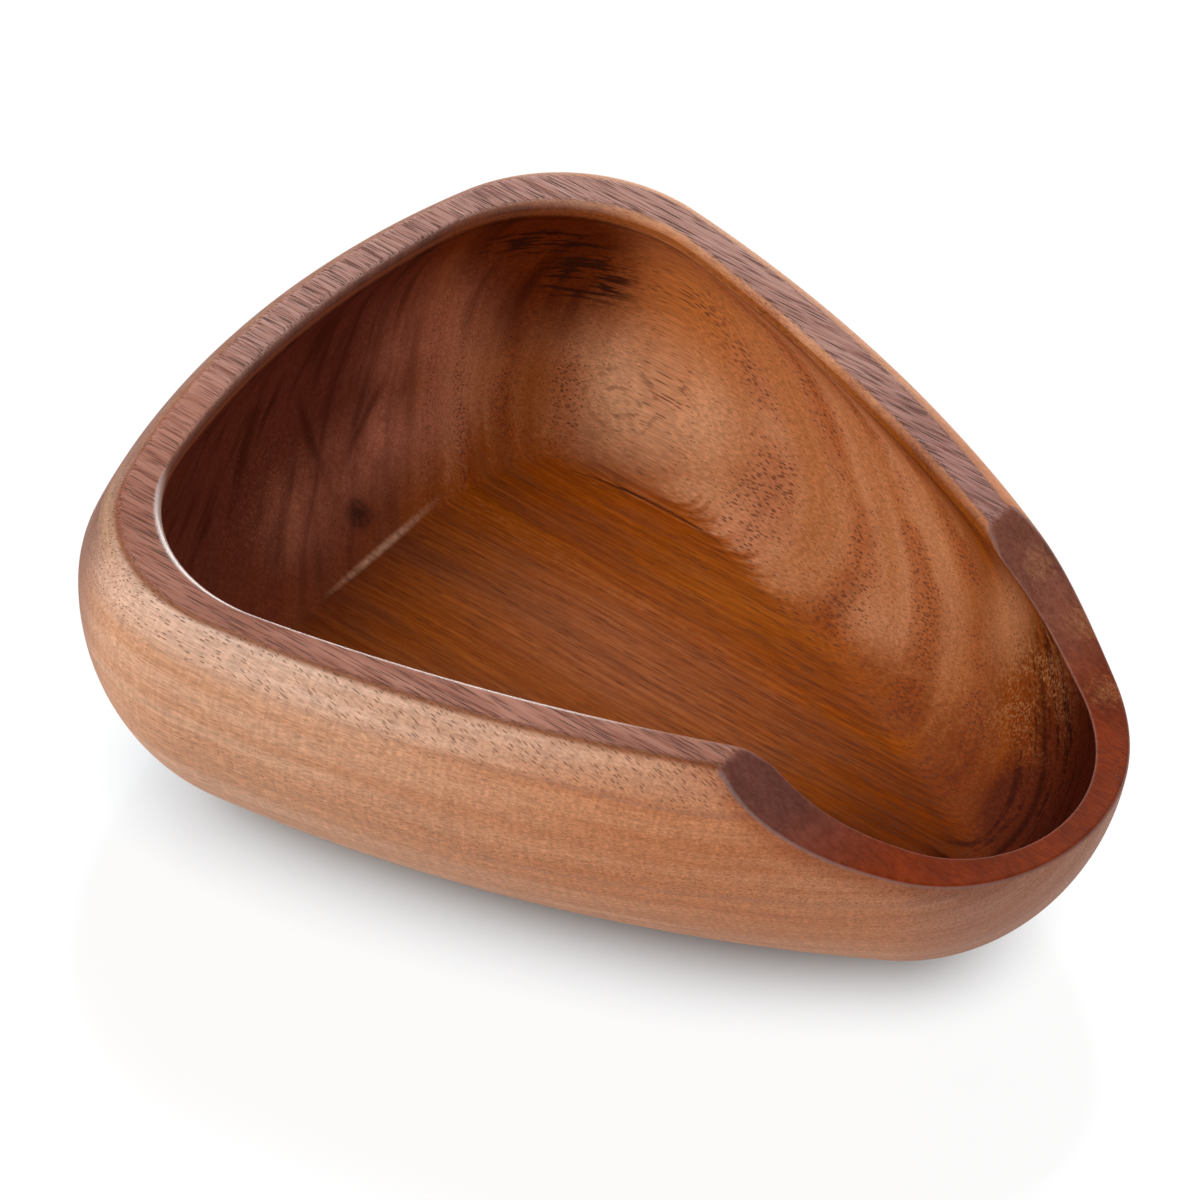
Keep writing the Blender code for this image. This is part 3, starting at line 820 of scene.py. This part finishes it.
from_eye = distance(EYE_CENTRE, EYE_SHAPE)
arcs = mask(start.sum("SINE", from_eye * EYE_ARC_PITCH + patches * EYE_WAVER, 0), *EYE_ARC_SHARES)
arcs = arcs * (1 - mask(from_eye, *EYE_SPAN))
arcs = arcs * mask(cloud(at, EYE_BREAK_SIZE), *EYE_BREAK_SHARES)
inside = blend(arcs * 0.38, inside, EYE_BROWN)
level_streaks = 1 - mask(cloud(at, LEVEL_STREAK_SIZE), *LEVEL_STREAK_SHARES)
# Dark streaks in the back corner, partly dark wood and partly painted shade under the lip.
dark_marks = most(near(*BACK_STREAK_PLACE), near(*UNDER_LIP_STREAK_PLACE)) * level_streaks
knot = near(*KNOT_PLACE) * (0.38 + patches * 0.25 + mottle * 0.35)
dark_marks = most(dark_marks, knot)
mineral = band(mineral_bow + mottle * 0.15, *MINERAL_LINE)
dark_marks = most(dark_marks, mineral * near(*MINERAL_PLACE) * (0.4 + layers * 0.9))
inside = blend(mask(dark_marks, *DARK_MARK_SHARES) * 0.9, inside, STREAK_DARK)
nose_streaks = 1 - mask(cloud(grain, NOSE_STREAK_SIZE, 3) + mottle * 0.08, *NOSE_STREAK_SHARES)
nose_streaks = most(nose_streaks, band(ring, *NOSE_LINE))
nose_streaks = nose_streaks * mask(x, *NOSE_STREAK_SPAN) * (1 - mask(ring, *NOSE_STREAK_RINGS))
inside = stain(nose_streaks * 0.85, inside, NOSE_STREAK_TINT)
inside = stain(mask(x, *NOSE_END_SPAN), inside, NOSE_END_TINT)
golden = mask(flecks, *GOLDEN_FLECK_SHARES) * mask(patches + mottle * 0.5, *GOLDEN_PATCH_SHARES)
golden = golden * near(*GOLDEN_FLECK_PLACE)
specks = mask(flecks, *SPECK_SHARES) * near(*SPECK_PLACE) * patches * 0.6
inside = blend(most(golden * 0.8, specks), inside, GOLD)
inside = stain(patch(*NEAR_FLOOR_PATCH), inside, NEAR_FLOOR_TINT)
# Painted highlight: a pale line along the crease at the foot of the back wall.
inside = blend(near(*CREASE_HIGHLIGHT_PLACE) * (0.6 + mottle * 0.6), inside, CREASE_PAINTED_HIGHLIGHT)
# Painted light: the right wall is lighter higher up, and darker away from the pale patch.
right_wall = up_wall * (1 - heart_and_shade)
painted_wall_light = 1 + right_wall * mask(z, *RIGHT_WALL_LIGHT_SPAN) * 0.3 - right_wall * (1 - pale) * 0.13
inside = dim(inside, painted_wall_light)


# The lip is sanded by hand and darker than the wall: orange along the sides and brown at the
# back, with a line of painted shade where the undercut begins.
LIP_ORANGE = (0.38, 0.095, 0.012, 1)
LIP_BROWN = (0.30, 0.095, 0.04, 1)
LIP_TOP = 0.6
LIP_FOOT = 2.0
LIP_FOOT_LOWER = 0.4
LIP_SOFT = 0.3
LIP_SHADE_DROP = 0.2
LIP_SHADE_END = 1.4
LIP_SHADE_SOFT = 0.4
LIP_SIDE_SPAN = (-58, -35)

lip_side = mask(x, *LIP_SIDE_SPAN)
lip_foot = LIP_FOOT + lip_side * LIP_FOOT_LOWER
lip_band = band(below_top, LIP_TOP, lip_foot, LIP_SOFT) * (1 - scoop)
inside = blend(lip_band * 0.75, inside, blend(lip_side, LIP_BROWN, LIP_ORANGE))
# Painted shade in a line just below the lip.
lip_shade = band(below_top, lip_foot + LIP_SHADE_DROP, lip_foot + LIP_SHADE_END, LIP_SHADE_SOFT)
inside = dim(inside, 1 - lip_shade * (0.35 + lip_side * 0.05) * (1 - scoop))


# The rim is sanded flat, and the scoop was cut through it last: purple brown on the near rim,
# greyer on the far one, red brown in the scoop, the rim's tones lightened by a painted sheen.
# A pale painted highlight runs along the near inner edge.
RIM_BROWN = (0.475, 0.217, 0.155, 1)
RIM_GREY = (0.53, 0.30, 0.25, 1)
RIM_DULL = (0.45, 0.235, 0.20, 1)
SCOOP_RED = (0.20, 0.028, 0.003, 1)
SCOOP_PALE = (0.30, 0.11, 0.065, 1)
SCOOP_DARK = (0.175, 0.060, 0.044, 1)
EDGE_PAINTED_HIGHLIGHT = (0.66, 0.54, 0.50, 1)
SCOOP_MOTTLE_TINT = (0.72, 0.60, 0.55, 1)
SCOOP_FIBRE_TINT = (0.66, 0.56, 0.52, 1)
RIM_LINE_TINT = (0.60, 0.46, 0.40, 1)
RIM_FIBRE_TINT = (0.48, 0.35, 0.31, 1)
SCOOP_RED_SPAN = (38, 56)
SCOOP_PALE_ACROSS = (10, 24)
SCOOP_PALE_SPAN = (45, 60)
UPPER_GLEAM_PLACE = ((40.5, 29.4, 40.2), (4, 5, 5))
MIDDLE_GLEAM_PLACE = ((49.1, 27.9, 35.7), (5, 5, 5))
LOWER_GLEAM_PLACE = ((57.3, 22.4, 32.9), (5, 6, 5))
GLEAM_FLECK_SHARES = (0.4, 0.7)
GLEAM_SHARES = (0.5, 1.2)
SCOOP_LIGHT = 1.16
SCOOP_PAINTED_LIGHT_PATCH = ((52, -23, 35), (9, 9, 8), 0.3)
SCOOP_END_SPAN = (56, 64)
RIM_DULL_SPAN = (-10, 25)
RIM_FIBRE_SHARES = (0.05, 0.5)
NEAR_EDGE_SPAN = (-38, -31)
NEAR_EDGE_END_SPAN = (34, 44)
OUTER_HIGHLIGHT_BAND = (0.25, 0.6, 0.15)

fresh = blend(mask(x, *SCOOP_RED_SPAN), SCOOP_DARK, SCOOP_RED)
far_scoop = mask(y, *SCOOP_PALE_ACROSS) * (1 - mask(x, *SCOOP_PALE_SPAN))
fresh = blend(far_scoop * 0.5, fresh, SCOOP_PALE)
fresh = dim(fresh, 0.74 + patches * 0.54)
gleams = most(near(*UPPER_GLEAM_PLACE), near(*MIDDLE_GLEAM_PLACE))
gleams = most(gleams, near(*LOWER_GLEAM_PLACE))
gleam_flecks = 0.25 + mask(flecks, *GLEAM_FLECK_SHARES) * 0.75
fresh = blend(gleam_flecks * mask(gleams + mottle * 0.5, *GLEAM_SHARES) * 0.45, fresh, GOLD)
fresh = stain((1 - mottle) * 0.7, fresh, SCOOP_MOTTLE_TINT)
fresh = stain((1 - fibre) * 0.5, fresh, SCOOP_FIBRE_TINT)
# Painted light on the near middle of the scoop, and painted shade darkening it towards the nose.
fresh = dim(fresh, SCOOP_LIGHT + patch(*SCOOP_PAINTED_LIGHT_PATCH) - mask(x, *SCOOP_END_SPAN) * 0.1)
# The rim's brown and grey tones are the wood's own purple brown, made paler and greyer as a painted sheen.
flat = blend(near_side, blend(mask(x, *RIM_DULL_SPAN), RIM_GREY, RIM_DULL), RIM_BROWN)
flat = stain((1 - lines) * 0.7, flat, RIM_LINE_TINT)
flat = stain((1 - mask(fibre, *RIM_FIBRE_SHARES)) * (1 - near_side * 0.15), flat, RIM_FIBRE_TINT)
top = blend(scoop, flat, fresh)

tone = blend(hollow, outside, inside)
tone = dim(tone, 0.8 + fibre * 0.38)
tone = blend(on_top, tone, top)
# Painted highlight: a pale line along the near inner edge, and a fainter one along the scoop's outer edge.
on_near_edge = (1 - mask(y, *NEAR_EDGE_SPAN)) * (1 - mask(x, *NEAR_EDGE_END_SPAN) * 0.75)
outer_edge_highlight = band(rim, *OUTER_HIGHLIGHT_BAND) * (1 - hollow) * scoop
tone = blend(inner_edge * (0.05 + on_near_edge * 0.6) + outer_edge_highlight * 0.2, tone, EDGE_PAINTED_HIGHLIGHT)


# Pores are the long open vessels along the grain, thick on the rim and in the early wood of each
# ring. The whole tray is oiled to a low sheen, with most gloss on the worn near edge.
PORE_DARK = (0.055, 0.02, 0.012, 1)
PORE_RED = (0.15, 0.05, 0.025, 1)
PORE_SIZE = (7, 0.34, 0.34)
FIRST_EARLY_RING = (20, 32.8, 0.5)
SECOND_EARLY_RING = (44, 48, 1.5)
FLOOR_PORE_SPAN = (-30, 30)
LEAST_PORE = 0.14
PORE_CORE = 0.55
PORE_DIP = 0.4
PORE_DIP_FROM = 30
PORE_SHORTER = 2.8
LEAST_ROUGHNESS = 0.46
GRAIN_DEPTH = 0.06 * MM
WOOD_GLEAM = 0.07
WORN_ROUGHNESS = 0.25

early = most(band(ring, *FIRST_EARLY_RING), band(ring, *SECOND_EARLY_RING) * 0.6)
pore_reach = LEAST_PORE + early * 0.17 * (1 - hollow)
pore_reach = pore_reach + cluster * (1 - heart_and_shade) * hollow * 0.26
pore_reach = pore_reach + up_wall * hollow * 0.03
pore_reach = pore_reach + on_top * (0.26 - near_side * 0.21)
pore_reach = pore_reach + floor * (0.06 + mask(x, *FLOOR_PORE_SPAN) * 0.14)
pore_reach = pore_reach * (1 - scoop * on_top * 0.5)
outer_wall = (1 - hollow) * (1 - on_top)
dip = most(x + PORE_DIP_FROM, 0) * outer_wall * PORE_DIP
dipping = place_of(x * (1 + outer_wall * PORE_SHORTER), y, z + dip)
vessel = start.node("ShaderNodeTexVoronoi", {}, {"Vector": stretched(dipping, PORE_SIZE), "Scale": 1})
pores = 1 - mask(vessel, pore_reach * PORE_CORE, pore_reach)
pore_tone = blend(most(hollow * (1 - heart_and_shade), outer_wall), PORE_DARK, PORE_RED)
tone = blend(pores * (0.75 - outer_wall * 0.15), tone, pore_tone)

worn = inner_edge * on_near_edge
gloss = LEAST_ROUGHNESS + fibre * 0.1 - worn * 0.17
height = fibre * 0.25 + lines * 0.1 - pores
bump = start.node("ShaderNodeBump", {}, {"Height": height, "Distance": GRAIN_DEPTH, "Strength": 1})
for finish, socket in ((tone, "Base Color"), (gloss, "Roughness"), (bump, "Normal"), (worn, "Coat Weight")):
    wood.node_tree.links.new(finish.socket, shader.inputs[socket])
shader.inputs["Specular IOR Level"].default_value = WOOD_GLEAM
shader.inputs["Coat Roughness"].default_value = WORN_ROUGHNESS

tray = bpy.data.objects.new("carved_tray", mesh)
bpy.context.scene.collection.objects.link(tray)
mesh.materials.append(wood)
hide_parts("tray_body")
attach(tray, "root")


# The white table: a wide plain sheet, smooth and faintly glossy, that the tray stands on. A glow
# seen by the camera rises to white a short way out from the tray, a painted light that cuts the
# tray's soft shadow short, a little sooner at the open end. Where it is shaded the camera sees it
# tinted cool, against the warm light the wood throws on it.
TABLE_REACH = 4
RING_PITCH = 4
RINGS_REACH = 20
GLOW_WHITE = 0.95
PAPER_WHITE = (0.85, 0.85, 0.85, 1)
SHADED_PAPER = (0.72, 0.86, 0.94, 1)
PAPER_ROUGHNESS = 0.15
PAPER_GLEAM = 0.6
OPEN_END_FROM = 25 * MM
OPEN_END_TO = 70 * MM
OPEN_END_SHIFT = 5
GLOW_FROM = -23
RINGS_AWAY = np.append(np.arange(-RINGS_REACH, RINGS_REACH + 1, RING_PITCH) * MM, TABLE_REACH)

on_table = rings(rim_plan, rim_outward, BULGE + RINGS_AWAY, np.zeros(len(RINGS_AWAY)))
around, down = on_table.shape[:2]
number = np.arange(around * down).reshape(around, down)
beside = np.roll(number, -1, 0)
quads = np.stack([number[:, :-1], number[:, 1:], beside[:, 1:], beside[:, :-1]], 2).reshape(-1, 4)
fan = [(int(a), int(b), around * down) for a, b in zip(number[:, 0], beside[:, 0])]
sheet_mesh = bpy.data.meshes.new("white_table")
sheet_mesh.from_pydata(on_table.reshape(-1, 3).tolist() + [[0, 0, 0]], [], quads.tolist() + fan)
away = np.append(np.tile(RINGS_AWAY, around), RINGS_AWAY[0]) / MM
sheet_mesh.attributes.new("away", "FLOAT", "POINT").data.foreach_set("value", away)
table = bpy.data.objects.new("white_table", sheet_mesh)
bpy.context.scene.collection.objects.link(table)
paper = bpy.data.materials.new("white_paper")
paper.use_nodes = True
paper_shader = paper.node_tree.nodes["Principled BSDF"]
paper_shader.inputs["Roughness"].default_value = PAPER_ROUGHNESS
paper_shader.inputs["Specular IOR Level"].default_value = PAPER_GLEAM
paper_shader.inputs["Emission Strength"].default_value = 1
sheet = Shade(paper_shader.outputs[0])


def shown(shade):
    """1 for what the camera, mirrors and glass show, 0 for the light that falls on the tray."""
    seen = shade.node("ShaderNodeLightPath", {}, {}, "Is Camera Ray")
    mirrored = shade.node("ShaderNodeLightPath", {}, {}, "Is Glossy Ray")
    through = shade.node("ShaderNodeLightPath", {}, {}, "Is Transmission Ray")
    return shade.sum("MAXIMUM", shade.sum("MAXIMUM", seen, mirrored), through)


plain = shown(sheet)
away = sheet.node("ShaderNodeAttribute", {"attribute_name": "away"}, {}, "Fac")
along_table = sheet.node("ShaderNodeTexCoord", {}, {}, "Object")
along_table = sheet.node("ShaderNodeSeparateXYZ", {}, {0: along_table}, 0)
open_end = sheet.node("ShaderNodeMapRange", {"interpolation_type": "SMOOTHSTEP"}, {
    "Value": along_table, "From Min": OPEN_END_FROM, "From Max": OPEN_END_TO, "To Max": OPEN_END_SHIFT})
# Painted light: the camera-only glow that fades the shadow out to white.
glow = sheet.node("ShaderNodeMapRange", {"interpolation_type": "SMOOTHSTEP"}, {
    "Value": away + open_end, "From Min": GLOW_FROM, "From Max": 0})
paper_tone = sheet.node("ShaderNodeMix", {"data_type": "RGBA"}, {
    0: plain, 6: PAPER_WHITE, 7: SHADED_PAPER}, 2)
paper_tone = sheet.node("ShaderNodeVectorMath", {"operation": "SCALE"}, {0: paper_tone, 3: 1 - glow * plain})
glow = glow * plain * GLOW_WHITE
paper.node_tree.links.new(paper_tone.socket, paper_shader.inputs["Base Color"])
paper.node_tree.links.new(glow.socket, paper_shader.inputs["Emission Color"])
sheet_mesh.materials.append(paper)


# The light tent: white all round, a large softbox at the front left and a low one behind, whose
# gleam runs along the near inner edge of the rim.
TENT_WHITE = (1, 1, 1, 1)
TENT_LIGHT = 0.55
SOFTBOXES = (
    ("key_softbox", (-1.0, -1.1, 1.3), 1.0, 17),
    ("back_softbox", (-0.55, 1.2, 0.4), 0.8, 10),
)

world = bpy.data.worlds.new("light_tent")
bpy.context.scene.world = world
world.use_nodes = True
background = world.node_tree.nodes["Background"]
background.inputs["Color"].default_value = TENT_WHITE
strength = TENT_LIGHT + shown(Shade(background.outputs[0])) * (1 - TENT_LIGHT)
world.node_tree.links.new(strength.socket, background.inputs["Strength"])

for name, spot, size, power in SOFTBOXES:
    lamp = bpy.data.objects.new(name, bpy.data.lights.new(name, "AREA"))
    lamp.data.size = size
    lamp.data.energy = power
    lamp.location = spot
    lamp.rotation_euler = (-Vector(spot)).to_track_quat("-Z", "Y").to_euler()
    bpy.context.scene.collection.objects.link(lamp)

bpy.context.scene.view_settings.view_transform = "Standard"
